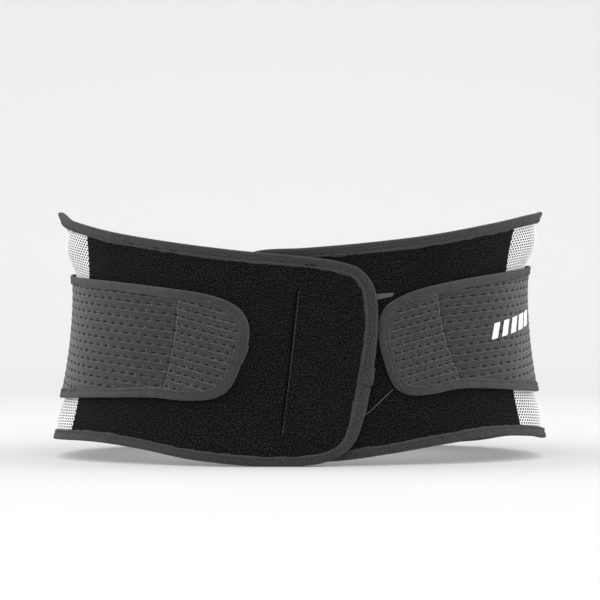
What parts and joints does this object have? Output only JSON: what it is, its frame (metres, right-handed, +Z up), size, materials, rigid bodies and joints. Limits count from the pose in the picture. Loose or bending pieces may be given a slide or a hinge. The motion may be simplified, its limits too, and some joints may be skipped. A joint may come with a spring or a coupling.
{
  "type": "lumbar support belt",
  "caption": "Wrap-round lumbar support belt with fleece front wings, mesh sides, a stayed back and two elastic pull straps, closed as worn.",
  "frame": {"origin": "on the floor plane at the middle of the waist loop; the belt stands on its lower edge", "axes": "+X to the viewer's right facing the front, the front faces -Y, +Z up along the wearer's spine"},
  "size_m": [0.3643, 0.2697, 0.1807],
  "materials": {
    "fleece": "napped black loop fleece",
    "lining": "matt black knit",
    "binding": "napped dark grey tape",
    "elastic": "ribbed dark grey elastic",
    "mesh": "white perforated knit",
    "foam": "matt foam",
    "hook": "fine hooks",
    "steel": "plated",
    "tab": "folded grey tape",
    "print": "heat-transferred print"
  },
  "bodies": {
    "back": {"lumbar_panel": "fleece", "lumbar_core": "foam", "lumbar_lining": "lining", "stay_casings": "lining", "left_outer_stay": "steel", "left_inner_stay": "steel", "right_inner_stay": "steel", "right_outer_stay": "steel", "left_mesh_panel": "mesh", "right_mesh_panel": "mesh", "back_top_binding": "binding", "back_bottom_binding": "binding", "left_strap_anchor": "elastic", "right_strap_anchor": "elastic", "left_anchor_binding": "binding", "right_anchor_binding": "binding", "left_anchor_tape": "binding", "right_anchor_tape": "binding"},
    "outer_wing": {"outer_panel": "fleece", "outer_lining": "lining", "outer_binding": "binding", "closure_hook_patch": "hook", "finger_tab": "tab", "left_strap_side": "elastic", "left_side_binding": "binding"},
    "inner_wing": {"inner_panel": "fleece", "inner_lining": "lining", "inner_binding": "binding", "right_strap_side": "elastic", "right_side_binding": "binding", "strap_mark": "print"},
    "left_strap": {"left_strap_web": "elastic", "left_strap_binding": "binding", "left_strap_hook": "hook"},
    "right_strap": {"right_strap_web": "elastic", "right_strap_binding": "binding", "right_strap_hook": "hook"}
  },
  "joints": [
    {"name": "outer_wing_hinge", "type": "hinge", "parent": "back", "child": "outer_wing", "pos_m": [-0.16714, -0.06923, 0], "axis": [0, 0, -1], "range_deg": [0, 105]},
    {"name": "inner_wing_hinge", "type": "hinge", "parent": "back", "child": "inner_wing", "pos_m": [0.16714, -0.06923, 0], "axis": [0, 0, 1], "range_deg": [0, 50]},
    {"name": "left_strap_peel", "type": "hinge", "parent": "outer_wing", "child": "left_strap", "pos_m": [-0.13336, -0.10049, 0.087], "axis": [0, 0, -1], "range_deg": [0, 95]},
    {"name": "right_strap_peel", "type": "hinge", "parent": "inner_wing", "child": "right_strap", "pos_m": [0.13336, -0.10049, 0.09], "axis": [0, 0, 1], "range_deg": [0, 95]}
  ],
  "couplings": [
    {"joint": "inner_wing_hinge", "follows": "outer_wing_hinge", "ratio": 0.45}
  ]
}
